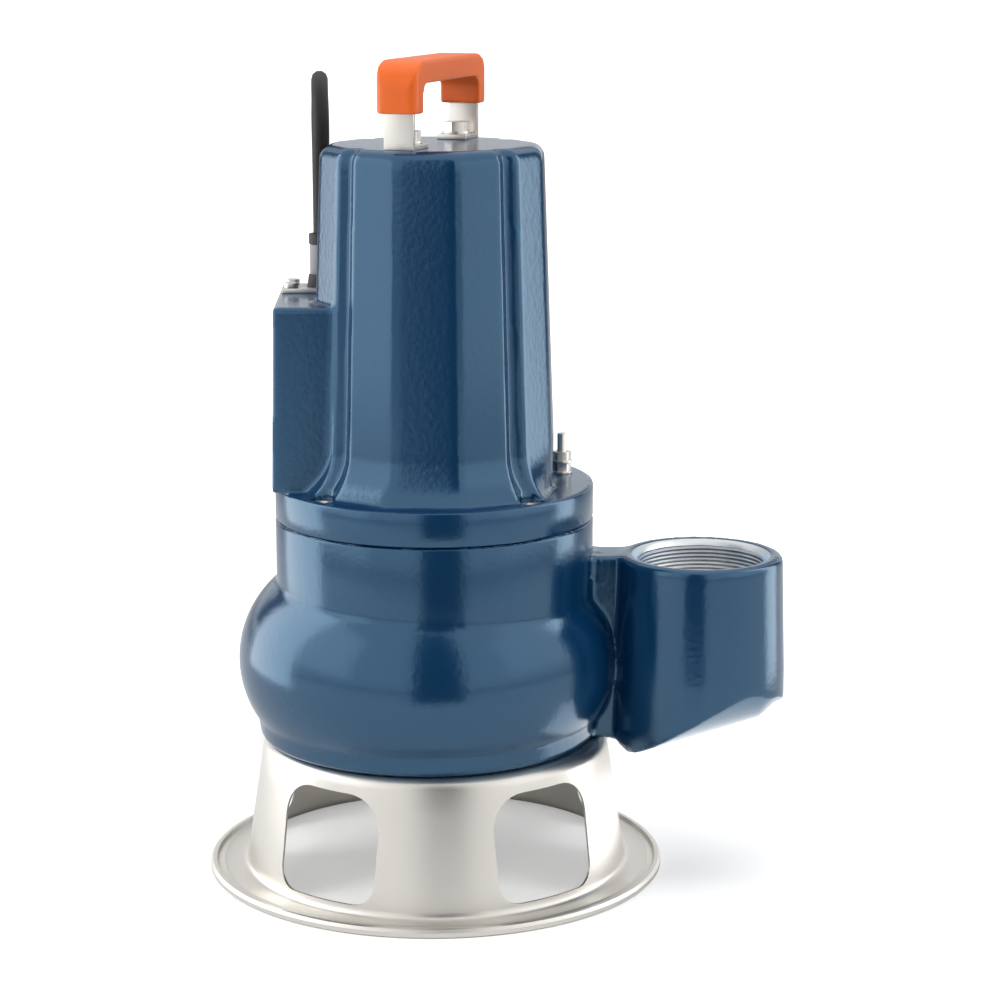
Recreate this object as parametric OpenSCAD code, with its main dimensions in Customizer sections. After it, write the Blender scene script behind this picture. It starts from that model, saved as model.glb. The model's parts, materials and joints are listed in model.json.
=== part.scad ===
// Submersible water pump with a vortex impeller, a drawn steel foot and a vertical outlet.
// Millimetres. The shaft axis is Z, the floor is z = 0 and the outlet is towards +X.

/* [Foot] */
// Radius of the base flange
foot_r = 134.3; // [124:0.1:145]
// Height from the floor to the underside of the pump body
foot_h = 80; // [74:1:90]
// Skirt radius just above the flange
skirt_r = 112; // [108:0.5:116]
// Skirt radius at its top
skirt_top_r = 102; // [98:0.5:104]
// Sheet thickness of the foot
sheet_t = 1.5; // [1:0.1:2.5]
// Height of the rolled rim
rim_h = 5; // [4:0.5:7]
// Number of windows in the skirt
window_n = 5; // [4:1:6]
// Width of one window
window_w = 66; // [50:1:70]
// Height of one window
window_h = 62; // [48:1:64]

/* [Pump body] */
// Height of the pump body, from the foot to the parting line
body_h = 131; // [126:1:140]
// Radius of the upper cylinder and of the casing flange
flange_r = 92.5; // [91:0.5:96]
// Radius of the bulge of the volute, from its own centre
volute_r = 111.4; // [108:0.1:114]
// Radius of the round of the bulge
bulge_r = 60; // [56:1:62]
// Shift of the volute centre towards -X
volute_dx = 4; // [0:0.5:5]
// Wall of the volute
body_wall = 9; // [7:0.5:10]
// Thickness of the floor of the volute
floor_t = 10; // [9:0.5:12]
// Radius of the suction opening
suction_r = 35; // [30:0.5:40]
// Radius of the machined bore that takes the seal plate and the bearing bracket
bore_r = 76; // [75:0.5:78]

/* [Outlet] */
// Distance of the outlet axis from the shaft axis, along X
outlet_x = 154.7; // [150:0.1:160]
// Offset of the outlet axis, along Y
outlet_y = -15.2; // [-20:0.1:-10]
// Height of the outlet face above the underside of the pump body
outlet_h = 110; // [104:1:116]
// Radius of the outlet boss at its face
boss_r = 47.6; // [46:0.1:50]
// Radius of the threaded bore, across the crests of the thread
thread_r = 36.1; // [34:0.1:38]
// Depth of the threaded bore
thread_h = 24; // [18:1:28]
// Radius of the water passage
passage_r = 31; // [26:0.5:33]
// Radius of the sideways water passage between the volute and the elbow
duct_passage_r = 26; // [24:0.5:28]
// Thickness of the web between the body and the boss
web_w = 32; // [24:1:36]

/* [Motor] */
// Length of the stator and rotor stacks
stator_l = 100; // [90:1:110]
// Outer radius of the stator stack
stator_r = 54; // [53:0.5:55]
// Outer radius of the rotor
rotor_r = 30; // [28:0.5:30.5]
// Gap between the rotor and the stator
air_gap = 0.5; // [0.4:0.1:0.8]
// Number of stator slots
slot_n = 24; // [18:6:36]
// Height of the winding heads
winding_h = 22; // [18:1:26]
// Radius of the shaft at the lower bearing
shaft_r = 10; // [10:0.5:10.5]

/* [Motor casing] */
// Height of the flange of the casing
flange_h = 20; // [17:1:24]
// Corner radius of the ribbed part at the top of the flare
casing_r = 71.5; // [70:0.1:73]
// Corner radius of the ribbed part under the top edge
casing_top_r = 65.4; // [64:0.1:68]
// Corner radius of the flare on the flange
flare_r = 86; // [83:0.5:88]
// Height of the flare
flare_h = 27; // [22:1:32]
// Depth of the four grooves
groove_d = 6; // [4:0.5:7]
// Thickness of the top wall
top_wall = 28; // [27:0.5:32]
// Turn of the ribbed part about the shaft axis, in degrees
casing_turn = -4; // [-8:1:8]

/* [Cable entry] */
// Height of the cable entry block
box_h = 106; // [96:1:116]
// Distance of the outer wall of the block from the shaft axis
box_x = 92.4; // [90:0.1:92.5]
// Front wall of the block, along -Y
box_front = 37; // [30:1:40]
// Rear wall of the block, along +Y
box_rear = 51; // [50:1:54]
// Place of the cable along X
cable_x = -65; // [-66:0.5:-64]
// Place of the cable along Y
cable_y = 38; // [37:0.5:38.5]
// Diameter of the cable
cable_d = 10; // [9:0.5:11]
// Height of the sleeve's end above the block
gland_h = 33.8; // [30:0.2:38]

/* [Handle] */
// Distance between the middles of the two legs
handle_span = 106.4; // [98:0.2:110]
// Height of the strap above the casing
handle_h = 44; // [38:1:50]
// Width of the strap
strap_w = 17.5; // [15:0.5:20]
// Thickness of the strap
strap_t = 3; // [2.5:0.5:4]
// Width of the grip
grip_w = 24.5; // [22:0.5:27]
// Thickness of the grip around the strap
grip_t = 5; // [4:0.5:6]
// Turn of the handle about the shaft axis, in degrees
handle_turn = 70; // [60:1:80]

/* [Impeller] */
// Radius of the impeller
impeller_r = 64; // [56:0.5:65]
// Height of the vanes
vane_h = 17; // [12:1:20]
// Number of vanes
vane_n = 8; // [6:1:10]
// Thickness of the vanes and of the impeller disc
vane_t = 5; // [4:0.5:6]

/* [Hidden] */
$fn = 96;

fit = 0.3;
run = 0.05;
blue = [0.16, 0.34, 0.48];
steel = [0.86, 0.85, 0.82];
iron = [0.45, 0.46, 0.48];
rubber = [0.09, 0.09, 0.10];

seam_z = foot_h + body_h;
flange_top = seam_z + flange_h;
plate_t = 6;
bracket_h = 35;
register_h = 8;
register_r = bore_r - 4;
plate_z = seam_z - bracket_h - plate_t;
lip_t = 7;
lip_r = impeller_r + 6;
disc_top = plate_z - 8;
disc_z = disc_top - vane_t;
vane_z = disc_z - vane_h;
bearing_lo_z = seam_z + 15;
bearing_lo_h = 14;
bearing_lo_r = 23.5;
stator_z = seam_z + 61;
stator_top = stator_z + stator_l;
cavity_top = stator_top + winding_h + 4;
casing_top = cavity_top + top_wall;
bearing_up_h = 11;
bearing_up_r = 17.5;
bearing_up_z = casing_top - 34;
washer_t = 1.5;
shaft_up_r = 7.5;
shaft_seal_r = shaft_r - 1;
shaft_low_r = 8;
nut_h = 10;
screw_circle = (bore_r + flange_r) / 2 - 0.8;
outlet_z = foot_h + outlet_h;
box_z = flange_top + 0.2;
box_top = box_z + box_h;
key_w = 5;
gland_top = box_top + gland_h;
coil_x = -5;
coil_y = 255;
coil_r = 90;
coil_turns_wide = 4;
coil_turns_high = 4;

// Route of the cable from the gland to the coil, then from the coil to the plug
route = [[cable_x, cable_y, gland_top], [cable_x, cable_y, gland_top + 15],
    [cable_x, cable_y, gland_top + 31], [-65, 44, 424], [-66, 60, 440], [-67, 82, 446],
    [-68, 104, 440], [-69, 120, 424], [-69, 126, 402], [-69, 126, 350],
    [-70, 126, 300], [-70, 126, 250], [-71, 126, 200], [-72, 126, 150], [-72, 126, 100],
    [-73, 126, 75], [-73, 127, 52], [-75, 132, 30], [-80, 142, 14], [-86, 156, 6],
    [-91, 170, 5], [-97, 190, 5], [-102, 208, 5], [-105, 224, 5]];
tail_route = [[-5, 330, 5], [10, 328.5, 5], [24, 321, 7], [33, 308, 12], [37.8, 289.7, 19],
    [34.8, 272.8, 19]];
plug_at = [32, 257, 19];
plug_turn = -100;

// Joins two points of a route by a smooth curve through the points before and after
function curve_point(a, b, c, d, t) =
    0.5 * (2 * b + (c - a) * t + (2 * a - 5 * b + 4 * c - d) * t * t
        + (3 * b - a - 3 * c + d) * t * t * t);
function smooth_route(p, steps) = [
    for (i = [0:len(p) - 2], s = [0:steps - 1])
        curve_point(p[max(i - 1, 0)], p[i], p[i + 1], p[min(i + 2, len(p) - 1)], s / steps),
    p[len(p) - 1]];
function unit(v) = v / norm(v);
function heading(q, i) = unit(q[min(i + 1, len(q) - 1)] - q[max(i - 1, 0)]);
function ring(p, t, side, r, sides) =
    let (u = unit(cross(t, side)), v = cross(t, u))
    [for (k = [0:sides - 1]) p + r * (cos(360 * k / sides) * u + sin(360 * k / sides) * v)];

// Side faces of a stack of rings that each hold n points, with the two ends closed
function stack_faces(rings, n) = concat(
    [[for (k = [0:n - 1]) k]],
    [for (i = [0:rings - 2], k = [0:n - 1])
        [i * n + k, (i + 1) * n + k, (i + 1) * n + (k + 1) % n, i * n + (k + 1) % n]],
    [[for (k = [n - 1:-1:0]) (rings - 1) * n + k]]);

module tube(points, r, steps, side = [1, 0, 0], sides = 10) {
    q = smooth_route(points, steps);
    polyhedron(
        [for (i = [0:len(q) - 1]) each ring(q[i], heading(q, i), side, r, sides)],
        stack_faces(len(q), sides), convexity = 6);
}

module disc(r, h, z = 0) {
    translate([0, 0, z]) cylinder(r = r, h = h);
}

module washer(r_out, r_in, h, z = 0) {
    translate([0, 0, z]) difference() {
        cylinder(r = r_out, h = h);
        translate([0, 0, -1]) cylinder(r = r_in, h = h + 2);
    }
}

module hex_screw(r, head_r, head_h, length) {
    translate([0, 0, -length]) cylinder(r = r, h = length + head_h / 2);
    cylinder(r = head_r, h = head_h, $fn = 6);
}

module socket_screw(r, head_r, head_h, length) {
    translate([0, 0, -length]) cylinder(r = r, h = length + head_h / 4);
    difference() {
        cylinder(r = head_r, h = head_h);
        translate([0, 0, head_h / 2]) cylinder(r = head_r * 0.5, h = head_h, $fn = 6);
    }
}

// Arc of points round (x, y), for profiles
function arc(x, y, r, from, to, steps) =
    [for (i = [0:steps]) let (a = from + (to - from) * i / steps) [x + r * cos(a), y + r * sin(a)]];

foot_hole_r = 58;
window_z = 8;
flange_z = 3;
shoulder_r = 7;
fillet_r = 4;
rim_w = 5;
foot_screw_n = 4;
foot_screw_circle = 70;

module window_outline() {
    top_r = 20;
    low_r = 12;
    half = window_w / 2;
    polygon(concat(
        arc(half - low_r, low_r, low_r, -90, 0, 6),
        arc(half - top_r, window_h - top_r, top_r, 0, 90, 8),
        arc(top_r - half, window_h - top_r, top_r, 90, 180, 8),
        arc(low_r - half, low_r, low_r, 180, 270, 6)));
}

module foot() {
    color(steel) difference() {
        rotate_extrude() polygon(concat(
            [[foot_hole_r, foot_h - sheet_t], [foot_hole_r, foot_h]],
            arc(skirt_top_r - shoulder_r, foot_h - shoulder_r, shoulder_r, 90, 10, 5),
            arc(skirt_r + fillet_r, flange_z + fillet_r, fillet_r, 180, 270, 5),
            [[foot_r - rim_w - 5, flange_z], [foot_r - rim_w - 3, flange_z + 0.9],
                [foot_r - rim_w - 1, flange_z], [foot_r - rim_w, flange_z],
                [foot_r - rim_w + 1.4, rim_h], [foot_r - 1.4, rim_h],
                [foot_r, rim_h - 1.6], [foot_r, 1], [foot_r - 1, 0], [foot_r - rim_w, 0],
                [foot_r - rim_w, flange_z - sheet_t]],
            arc(skirt_r + fillet_r, flange_z + fillet_r, fillet_r + sheet_t, 270, 180, 5),
            arc(skirt_top_r - shoulder_r, foot_h - shoulder_r, shoulder_r - sheet_t, 10, 90, 5)));
        for (k = [0:window_n - 1])
            rotate([0, 0, -90 + 360 / window_n * (k + 0.5)])
                translate([skirt_top_r - 20, 0, window_z])
                    rotate([90, 0, 90]) linear_extrude(skirt_r - skirt_top_r + 30) window_outline();
        for (k = [0:foot_screw_n - 1])
            rotate([0, 0, 360 / foot_screw_n * k]) translate([foot_screw_circle, 0, foot_h - 10])
                cylinder(r = 4 + fit, h = 20);
    }
}

module foot_screws() {
    color(steel) for (k = [0:foot_screw_n - 1])
        rotate([0, 0, 360 / foot_screw_n * k])
            translate([foot_screw_circle, 0, foot_h - sheet_t]) mirror([0, 0, 1])
                hex_screw(4, 7.5, 5.5, sheet_t + floor_t - 2);
}

bulge_z = foot_h + 46;
bulge_x = volute_r - bulge_r;

// Half section of the volute, solid to the axis, outside (grow = 0) or inside (grow < 0)
module bulge_section(grow, z_from, z_to) {
    intersection() {
        union() {
            translate([bulge_x, bulge_z]) circle(r = bulge_r + grow);
            translate([0, bulge_z - bulge_r - grow]) square([bulge_x, 2 * (bulge_r + grow)]);
        }
        translate([0, z_from]) square([volute_r + 10, z_to - z_from]);
    }
}

module volute_outside() {
    base_r = volute_r - 12;
    translate([-volute_dx, volute_dx * 0.75, 0]) rotate_extrude() union() {
        bulge_section(0, foot_h + 4, bulge_z + 50);
        polygon([[0, foot_h], [base_r - 3, foot_h], [base_r - 1, foot_h + 1], [base_r, foot_h + 3],
            [base_r + 4, bulge_z - 18], [0, bulge_z - 18]]);
    }
}

module volute_inside() {
    translate([-volute_dx, volute_dx * 0.75, 0])
        rotate_extrude() bulge_section(-body_wall, foot_h + floor_t, plate_z - lip_t);
}

// Centre of the sideways water passage, and the tapered underside of the elbow
passage_z = foot_h + 42;
duct_wall = 7;
duct_r = duct_passage_r + duct_wall;
duct_half = duct_r - 1.5;
web_front = -web_w / 2 - 6;
duct_y = web_front - 1 + duct_r;
duct_end = outlet_x - 20;
keel_tilt = 23.4;
keel_angle = 38;
keel_x = outlet_x + 80;
keel_z = foot_h + 22;

module elbow_outside() {
    boss_low_r = boss_r + 2;
    split_z = foot_h + 43;
    low_z = foot_h - 8;
    // Upper part: tapered boss, the web that joins it to the body, and the top of the duct
    translate([outlet_x, outlet_y, split_z - 1]) cylinder(
        r1 = boss_low_r, r2 = boss_r, h = outlet_z - split_z - 0.5);
    translate([outlet_x, outlet_y, outlet_z - 1.6]) cylinder(r1 = boss_r, r2 = boss_r - 1.6, h = 1.6);
    translate([60, web_front, passage_z]) cube([outlet_x - 60, web_w, outlet_z - passage_z - 0.8]);
    translate([50, duct_y, passage_z]) rotate([0, 90, 0]) cylinder(r = duct_r, h = duct_end - 50);
    translate([duct_end, duct_y, passage_z]) sphere(r = duct_r);
    // Lower part: the same boss and the sideways duct, trimmed by the tapered underside
    intersection() {
        union() {
            translate([outlet_x, outlet_y, low_z]) cylinder(r = boss_low_r, h = split_z - low_z);
            translate([50, duct_y - duct_half, low_z + 3])
                cube([duct_end - 50, 2 * duct_half, split_z - low_z - 3]);
            translate([duct_end, duct_y, low_z + 3]) cylinder(r = duct_half, h = split_z - low_z - 3);
        }
        translate([keel_x, outlet_y, keel_z]) rotate([0, keel_tilt - 90, 0])
            cylinder(r1 = 0, r2 = 240 * tan(keel_angle), h = 240);
        translate([50, outlet_y, passage_z]) rotate([0, 90, 0]) cylinder(r = 60, h = 200);
        washer(outlet_x + 80, skirt_top_r + 2.5, foot_h + body_h, 0.5);
    }
    intersection() {
        translate([50, duct_y - duct_half, foot_h]) cube([60, 2 * duct_half, split_z - foot_h]);
        translate([50, outlet_y, passage_z]) rotate([0, 90, 0]) cylinder(r = 56, h = 80);
        disc(skirt_top_r + 4, body_h, foot_h);
    }
}

module elbow_inside() {
    translate([outlet_x, outlet_y, passage_z]) cylinder(r = passage_r, h = outlet_z);
    translate([outlet_x, outlet_y, passage_z]) sphere(r = passage_r);
    translate([bulge_x, duct_y, passage_z]) rotate([0, 90, 0])
        cylinder(r = duct_passage_r, h = duct_end - bulge_x);
    translate([duct_end, duct_y, passage_z]) sphere(r = duct_passage_r);
    translate([outlet_x, outlet_y, outlet_z - thread_h]) cylinder(r = thread_r, h = thread_h + 1);
    translate([outlet_x, outlet_y, outlet_z - 3.9]) cylinder(r1 = thread_r, r2 = thread_r + 4, h = 4);
}

module pump_body() {
    pry_w = 16;
    color(blue) difference() {
        union() {
            volute_outside();
            disc(flange_r, body_h - 61, foot_h + 60);
            translate([0, 0, seam_z - 1]) cylinder(r1 = flange_r, r2 = flange_r - 1, h = 1);
            elbow_outside();
        }
        volute_inside();
        elbow_inside();
        disc(bore_r, bracket_h + plate_t + 1, plate_z);
        disc(lip_r, lip_t + 2, plate_z - lip_t - 1);
        disc(suction_r, floor_t + 2, foot_h - 1);
        translate([0, 0, foot_h - 0.1]) cylinder(r1 = suction_r + 3, r2 = suction_r, h = 3);
        for (k = [0:foot_screw_n - 1])
            rotate([0, 0, 360 / foot_screw_n * k]) translate([foot_screw_circle, 0, foot_h - 1])
                cylinder(r = 4, h = floor_t - 1);
        for (k = [0:3]) rotate([0, 0, casing_turn + 45 + 90 * k])
            translate([screw_circle, 0, seam_z - 24]) cylinder(r = 4, h = 30);
        // Slot for a lever at the parting line
        rotate([0, 0, -109]) translate([flange_r - 2.5, -pry_w / 2, seam_z - 2]) cube([10, pry_w, 4]);
    }
}

// Curved vane, the space between two arcs
module vane() {
    bend_r = 46;
    intersection() {
        translate([0, bend_r, vane_z]) difference() {
            cylinder(r = bend_r + vane_t / 2, h = vane_h + 1);
            translate([0, 0, -1]) cylinder(r = bend_r - vane_t / 2, h = vane_h + 4);
        }
        translate([0, 0, vane_z - 1]) difference() {
            cylinder(r = impeller_r - 1, h = vane_h + 4);
            translate([0, 0, -1]) cylinder(r = 14, h = vane_h + 8);
        }
        translate([0, -bend_r, vane_z - 1]) cube([impeller_r, 2 * bend_r, vane_h + 4]);
    }
}

module impeller() {
    hub_r = 16;
    color(iron) difference() {
        union() {
            disc(impeller_r, vane_t, disc_z);
            disc(hub_r, disc_top + 2 - vane_z, vane_z);
            for (k = [0:vane_n - 1]) rotate([0, 0, 360 / vane_n * k]) vane();
        }
        disc(shaft_low_r, 100, vane_z - 1);
        translate([-key_w / 2, 0, vane_z - 1]) cube([key_w, shaft_low_r + 2.3, 100]);
    }
}

module impeller_key() {
    color(steel) translate([-key_w / 2, shaft_low_r - 3, vane_z + 2])
        cube([key_w, 5, disc_top - vane_z - 2]);
}

module impeller_washer() {
    color(steel) washer(12, 6, 2, vane_z - 2);
}

module impeller_nut() {
    color(steel) difference() {
        translate([0, 0, vane_z - 2 - nut_h]) cylinder(r = 10.9, h = nut_h, $fn = 6);
        disc(6, nut_h + 2, vane_z - 3 - nut_h);
    }
}

module shaft() {
    end_z = vane_z - nut_h - 5;
    color(steel) difference() {
        union() {
            disc(6, 30, end_z);
            disc(shaft_low_r, disc_top + 2 - vane_z, vane_z);
            disc(shaft_seal_r, bearing_lo_z - 12 - disc_top - 2, disc_top + 2);
            disc(shaft_r, bearing_lo_h + 12, bearing_lo_z - 12);
            disc(shaft_r + 2, stator_z - 10 - bearing_lo_z - bearing_lo_h, bearing_lo_z + bearing_lo_h);
            disc(shaft_r + 1, stator_l + 20, stator_z - 10);
            disc(shaft_up_r + 2, bearing_up_z - stator_top - 10, stator_top + 10);
            disc(shaft_up_r, bearing_up_h + 1, bearing_up_z);
            translate([0, 0, bearing_up_z + bearing_up_h + 1])
                cylinder(r1 = shaft_up_r, r2 = shaft_up_r - 1, h = 1);
        }
        translate([-key_w / 2, shaft_low_r - 3, vane_z + 2]) cube([key_w, 5, disc_top - vane_z - 2]);
    }
}

seal_seat_r = 15;
oil_r = 62;
oil_roof = seam_z - 12;

module seal_plate() {
    color(iron) difference() {
        disc(bore_r - fit, plate_t, plate_z);
        disc(seal_seat_r, plate_t + 2, plate_z - 1);
        translate([0, 46, plate_z - 1]) cylinder(r = 5, h = plate_t + 2);
    }
}

module oil_plug() {
    color(steel) translate([0, 46, plate_z]) mirror([0, 0, 1]) socket_screw(5, 8, 4, plate_t);
}

module lower_seal_seat() {
    color([0.25, 0.25, 0.27]) washer(seal_seat_r, shaft_seal_r + 1, plate_t + 2, plate_z);
}

module lower_seal_ring() {
    color([0.35, 0.36, 0.38]) washer(14, shaft_seal_r, 6, plate_z + plate_t + 2);
}

// Helical wire spring between the two rotating seal rings
module seal_spring() {
    z_low = plate_z + plate_t + 8;
    turns = 4;
    wire = 0.9;
    rise = oil_roof - 7 - z_low - 2 * wire;
    q = [for (i = [0:turns * 12]) [11.5 * cos(30 * i), 11.5 * sin(30 * i),
        z_low + wire + rise * i / (turns * 12)]];
    color(steel) polyhedron(
        [for (i = [0:len(q) - 1]) each ring(q[i], heading(q, i), [0, 0, 1], wire, 6)],
        stack_faces(len(q), 6), convexity = 10);
}

module upper_seal_ring() {
    color([0.35, 0.36, 0.38]) washer(14, shaft_seal_r, 7, oil_roof - 7);
}

module upper_seal_seat() {
    color([0.25, 0.25, 0.27]) washer(seal_seat_r, shaft_seal_r + 1, 7, oil_roof);
}

module bearing_bracket() {
    top = bearing_lo_z + bearing_lo_h;
    groove_z = plate_z + plate_t + 12;
    color(iron) difference() {
        rotate_extrude() polygon([
            [oil_r, plate_z + plate_t], [bore_r - fit, plate_z + plate_t],
            [bore_r - fit, groove_z], [bore_r - fit - 3, groove_z],
            [bore_r - fit - 3, groove_z + 4], [bore_r - fit, groove_z + 4],
            [bore_r - fit, seam_z], [register_r - fit, seam_z],
            [register_r - fit, seam_z + register_h], [36, seam_z + register_h],
            [31, top], [bearing_lo_r, top], [bearing_lo_r, bearing_lo_z],
            [shaft_r + 1, bearing_lo_z], [shaft_r + 1, oil_roof + 7],
            [seal_seat_r, oil_roof + 7], [seal_seat_r, oil_roof],
            [20, oil_roof], [oil_r, oil_roof - 3]]);
    }
}

module o_rings() {
    color(rubber) {
        rotate_extrude() translate([bore_r - fit - 1.4, plate_z + plate_t + 14]) circle(r = 1.6, $fn = 24);
        rotate_extrude() translate([register_r - 1.9, seam_z + register_h + 1.5]) circle(r = 1.5, $fn = 24);
    }
}

// Deep groove ball bearing: pitch radius, ball radius, number of balls
module race(r_in, r_out, h, z, pitch, ball) {
    color(steel) difference() {
        washer(r_out, r_in, h, z);
        translate([0, 0, z + h / 2]) rotate_extrude() translate([pitch, 0]) circle(r = ball + run, $fn = 32);
    }
}

module balls(n, z, pitch, ball) {
    color(steel) for (k = [0:n - 1]) rotate([0, 0, 360 / n * k]) translate([pitch, 0, z]) sphere(r = ball);
}

lo_pitch = (bearing_lo_r + shaft_r) / 2;
lo_ball = 4;
up_pitch = (bearing_up_r + shaft_up_r) / 2;
up_ball = 3;
ball_n = 8;

cage_half = 1.2;

// Ring with a round pocket for each ball
module cage(n, z, pitch, ball) {
    color([0.75, 0.6, 0.3]) difference() {
        washer(pitch + cage_half, pitch - cage_half, 2 * ball + 2, z - ball - 1);
        for (k = [0:n - 1]) rotate([0, 0, 360 / n * k]) translate([pitch, 0, z]) sphere(r = ball + run);
    }
}

module lower_bearing_outer() {
    race(lo_pitch + 3, bearing_lo_r, bearing_lo_h, bearing_lo_z, lo_pitch, lo_ball);
}
module lower_bearing_inner() {
    race(shaft_r, lo_pitch - 3, bearing_lo_h, bearing_lo_z, lo_pitch, lo_ball);
}
module lower_bearing_balls() {
    balls(ball_n, bearing_lo_z + bearing_lo_h / 2, lo_pitch, lo_ball);
}
module lower_bearing_cage() {
    cage(ball_n, bearing_lo_z + bearing_lo_h / 2, lo_pitch, lo_ball);
}
module upper_bearing_outer() {
    race(up_pitch + 2.2, bearing_up_r, bearing_up_h, bearing_up_z, up_pitch, up_ball);
}
module upper_bearing_inner() {
    race(shaft_up_r, up_pitch - 2.2, bearing_up_h, bearing_up_z, up_pitch, up_ball);
}
module upper_bearing_balls() {
    balls(ball_n, bearing_up_z + bearing_up_h / 2, up_pitch, up_ball);
}

module upper_bearing_cage() {
    cage(ball_n, bearing_up_z + bearing_up_h / 2, up_pitch, up_ball);
}

module wave_washer() {
    color(steel) washer(bearing_up_r - 0.5, bearing_up_r - 4, washer_t, bearing_up_z + bearing_up_h);
}

module rotor_core() {
    color(iron) washer(rotor_r, shaft_r + 1, stator_l, stator_z);
}

module rotor_end_rings() {
    color([0.8, 0.8, 0.82]) {
        washer(rotor_r - 1, rotor_r - 10, 8, stator_z - 8);
        washer(rotor_r - 1, rotor_r - 10, 8, stator_top);
    }
}

slot_in = rotor_r + air_gap + 3;
slot_out = slot_in + 12;
slot_w = 4.6;

module slots(w, r_from, r_to, z, h) {
    for (k = [0:slot_n - 1]) rotate([0, 0, 360 / slot_n * k])
        translate([r_from, -w / 2, z]) cube([r_to - r_from, w, h]);
}

module stator_core() {
    color(iron) difference() {
        washer(stator_r, rotor_r + air_gap, stator_l, stator_z);
        slots(slot_w, slot_in, slot_out, stator_z - 1, stator_l + 2);
    }
}

module winding_head() {
    rotate_extrude() union() {
        translate([slot_in + 3, 0]) square([slot_out - slot_in - 2, winding_h - 4]);
        translate([slot_in + 6, 0]) square([slot_out - slot_in - 8, winding_h]);
    }
}

module windings() {
    color([0.72, 0.40, 0.20]) {
        translate([0, 0, stator_top]) winding_head();
        translate([0, 0, stator_z]) mirror([0, 0, 1]) winding_head();
        slots(slot_w - 0.4, slot_in + 0.2, slot_out - 0.2, stator_z - 1, stator_l + 2);
    }
}

// The ribbed part of the casing: twelve flats with four round grooves, drafted and flared
groove_half = 6.5;
flare_z = flange_top + flare_h;
edge_r = 8;
straight_top = casing_top - edge_r;

// Share of the flare that is left at an angle: none beside the earth stud
function flare_share(a) = min(1, max(0, (abs(a > 180 ? a - 360 : a) - 20) / 18.5));
function casing_radius(z, share) =
    z < flare_z
        ? casing_r + share * (flare_r - casing_r) * pow((flare_z - max(z, flange_top)) / flare_h, 2.2)
        : z < straight_top
            ? casing_r + (casing_top_r - casing_r) * (z - flare_z) / (straight_top - flare_z)
            : casing_top_r - edge_r + edge_r * sqrt(1 - pow((z - straight_top) / edge_r, 2));
function near_flat(a) = a - 30 * round(a / 30);
function near_groove(a) = a - 45 - 90 * round((a - 45) / 90);
function groove_cut(a) =
    abs(near_groove(a)) < groove_half ? 0.5 + 0.5 * cos(180 * near_groove(a) / groove_half) : 0;
function rib_radius(R, a) = min(R * cos(15) / cos(near_flat(a)), R - 0.35) - groove_d * groove_cut(a);
rib_angles = [for (k = [0:11]) each k % 3 == 1
    ? [for (i = [-4:4]) 30 * k + 15 + groove_half * i / 4]
    : [for (i = [-1:1]) 30 * k + 15 + 2.2 * i]];
rib_levels = concat(
    [flange_top - 0.5],
    [for (i = [1:6]) flange_top + flare_h * pow(i / 6, 1.3)],
    [(flare_z + straight_top) / 2],
    [for (i = [0:5]) straight_top + edge_r * sin(15 * i + (i == 5 ? 9 : 0))]);

module ribbed_shell() {
    n = len(rib_angles);
    polyhedron(
        [for (z = rib_levels, a = rib_angles)
            let (r = rib_radius(casing_radius(z, flare_share(a)), a)) [r * cos(a), r * sin(a), z]],
        stack_faces(len(rib_levels), n), convexity = 8);
}

module cable_block() {
    lean = 2.3;
    translate([0, box_rear, 0]) rotate([90, 0, 0]) linear_extrude(box_rear + box_front)
        polygon([[-box_x, box_z], [lean - box_x, box_top], [-46, box_top], [-46, box_z]]);
}

strap_foot = 24;
handle_screw_x = handle_span / 2 - strap_t / 2 - 12;
stud_x = 75.2;
stud_y = 20;
stud_r = 3;
stud_end_r = 2.8;
stud_h = 24;
stud_thread_h = 14;
stud_depth = 12;

module motor_casing() {
    color(blue) difference() {
        union() {
            disc(flange_r, flange_h - 2, seam_z + 1);
            translate([0, 0, seam_z]) cylinder(r1 = flange_r - 1, r2 = flange_r, h = 1);
            translate([0, 0, flange_top - 1]) cylinder(r1 = flange_r, r2 = flange_r - 1, h = 1);
            rotate([0, 0, casing_turn]) ribbed_shell();
            cable_block();
        }
        disc(register_r, register_h + 4, seam_z - 1);
        disc(stator_r + 4, stator_z - seam_z, seam_z - 1);
        difference() {
            disc(stator_r, cavity_top - stator_z + 8, stator_z - 8);
            disc(bearing_up_r + 6, 60, bearing_up_z - 2);
        }
        disc(bearing_up_r, bearing_up_h + washer_t + 4, bearing_up_z - 4);
        disc(bearing_up_r - 5, bearing_up_h + washer_t + 3, bearing_up_z);
        for (k = [0:3]) rotate([0, 0, casing_turn + 45 + 90 * k]) translate([screw_circle, 0, 0]) {
            disc(4 + fit, flange_h + 4, seam_z - 2);
            disc(7.2, 40, flange_top - 9);
        }
        translate([cable_x, cable_y, box_top - 30]) cylinder(r = 9, h = 31);
        translate([cable_x, cable_y, box_top - 24]) rotate([0, 90, 0]) cylinder(r = 5, h = 30);
        for (s = [-1, 1]) translate([clamp_screw_x, cable_y + s * clamp_screw_y, box_top - 12])
            cylinder(r = 2.5, h = 14);
        translate([stud_x, stud_y, flange_top - stud_depth - 2]) cylinder(r = stud_r, h = 20);
        rotate([0, 0, handle_turn]) for (s = [-1, 1])
            translate([s * handle_screw_x, 0, casing_top - 15]) cylinder(r = 4, h = 20);
    }
}

module casing_screws() {
    color(steel) for (k = [0:3])
        rotate([0, 0, casing_turn + 45 + 90 * k]) translate([screw_circle, 0, flange_top - 9])
            socket_screw(4, 6.5, 8, flange_h - 9 + 22);
}

module earth_stud() {
    color(steel) translate([stud_x, stud_y, flange_top]) {
        disc(stud_r, stud_depth + stud_thread_h, -stud_depth);
        disc(stud_end_r, stud_h, 0);
    }
}

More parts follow.
